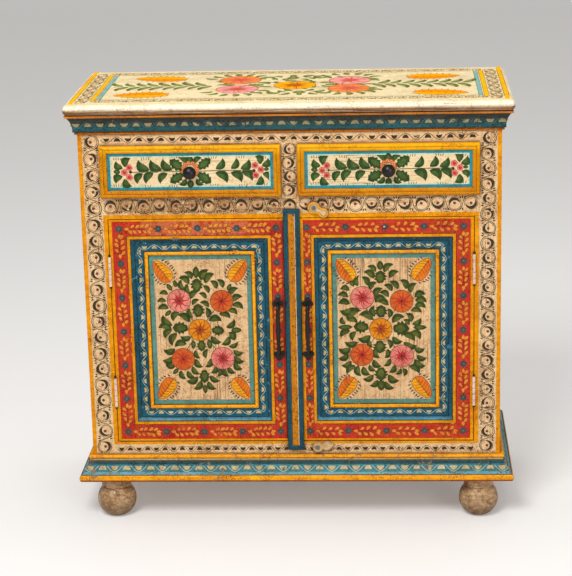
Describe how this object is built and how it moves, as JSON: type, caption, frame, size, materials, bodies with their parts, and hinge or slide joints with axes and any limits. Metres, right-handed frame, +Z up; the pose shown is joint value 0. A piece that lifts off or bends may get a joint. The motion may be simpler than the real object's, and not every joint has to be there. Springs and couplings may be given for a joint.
{
  "type": "sideboard",
  "caption": "Painted wooden sideboard: lipped drawers over a frame-and-panel two-door cupboard with turn buttons, moulded cornice and plinth, on turned bun feet.",
  "frame": {"origin": "on the floor, in the middle of the width and halfway between the front of the knobs and the back of the top", "axes": "+X to the right, +Y to the back, +Z up; the doors and drawers face -Y"},
  "size_m": [0.906, 0.413, 0.885],
  "materials": {
    "cream_paint": "chalky cream paint on wood, worn to the grain",
    "yellow_paint": "worn ochre-yellow paint on wood",
    "blue_paint": "worn peacock-blue paint on wood",
    "red_paint": "worn red paint on wood",
    "bare_wood": "plain sawn hardwood",
    "worn_foot_wood": "turned wood with greyed, rubbed finish",
    "black_iron": "blackened wrought iron",
    "worn_steel": "worn steel with paint remains"
  },
  "bodies": {
    "carcass": {"top_board": "cream_paint", "cornice_front": "blue_paint", "cornice_sides": "blue_paint", "stile_left": "cream_paint", "stile_right": "cream_paint", "rail_top": "cream_paint", "rail_middle": "cream_paint", "rail_bottom": "cream_paint", "drawer_muntin": "cream_paint", "side_left": "cream_paint", "side_right": "cream_paint", "back_boards": "bare_wood", "floor_board": "bare_wood", "drawer_deck": "bare_wood", "drawer_guides": "bare_wood", "drawer_kickers": "bare_wood", "shelf": "bare_wood", "base_board": "bare_wood", "plinth_front": "blue_paint", "plinth_sides": "blue_paint", "foot_front_left": "worn_foot_wood", "foot_front_right": "worn_foot_wood", "foot_back_left": "worn_foot_wood", "foot_back_right": "worn_foot_wood", "hinge_frame_leaves": "worn_steel", "hinge_pins": "worn_steel", "turn_button_screws": "worn_steel"},
    "left_drawer": {"left_drawer_front": "cream_paint", "left_drawer_sides": "bare_wood", "left_drawer_back": "bare_wood", "left_drawer_bottom": "bare_wood", "left_drawer_moulding": "yellow_paint", "left_drawer_knob": "black_iron", "left_drawer_knob_screw": "worn_steel"},
    "right_drawer": {"right_drawer_front": "cream_paint", "right_drawer_sides": "bare_wood", "right_drawer_back": "bare_wood", "right_drawer_bottom": "bare_wood", "right_drawer_moulding": "yellow_paint", "right_drawer_knob": "black_iron", "right_drawer_knob_screw": "worn_steel"},
    "left_door": {"left_door_stiles": "red_paint", "left_door_rails": "red_paint", "left_door_panel": "cream_paint", "left_door_moulding": "blue_paint", "left_door_bead": "yellow_paint", "left_door_pull": "black_iron", "left_door_pull_screws": "black_iron", "left_door_hinge_leaves": "worn_steel"},
    "right_door": {"right_door_stiles": "red_paint", "right_door_rails": "red_paint", "right_door_panel": "cream_paint", "right_door_moulding": "blue_paint", "right_door_bead": "yellow_paint", "right_door_pull": "black_iron", "right_door_pull_screws": "black_iron", "right_door_hinge_leaves": "worn_steel", "meeting_strip": "blue_paint"},
    "top_turn_button": {"top_turn_button": "yellow_paint"},
    "bottom_turn_button": {"bottom_turn_button": "yellow_paint"}
  },
  "joints": [
    {"name": "left_drawer_slide", "type": "slide", "parent": "carcass", "child": "left_drawer", "axis": [0, -1, 0], "range_m": [0, 0.25]},
    {"name": "right_drawer_slide", "type": "slide", "parent": "carcass", "child": "right_drawer", "axis": [0, -1, 0], "range_m": [0, 0.25]},
    {"name": "left_door_hinge", "type": "hinge", "parent": "carcass", "child": "left_door", "pos_m": [-0.37075, -0.179, 0.40675], "axis": [0, 0, -1], "range_deg": [0, 170]},
    {"name": "right_door_hinge", "type": "hinge", "parent": "carcass", "child": "right_door", "pos_m": [0.37075, -0.179, 0.40675], "axis": [0, 0, 1], "range_deg": [0, 170]},
    {"name": "top_button_pivot", "type": "hinge", "parent": "carcass", "child": "top_turn_button", "pos_m": [0.048, -0.1792, 0.6675], "axis": [0, 1, 0], "range_deg": [-20, 60]},
    {"name": "bottom_button_pivot", "type": "hinge", "parent": "carcass", "child": "bottom_turn_button", "pos_m": [0.0476, -0.1792, 0.1545], "axis": [0, -1, 0], "range_deg": [-10, 80]}
  ]
}
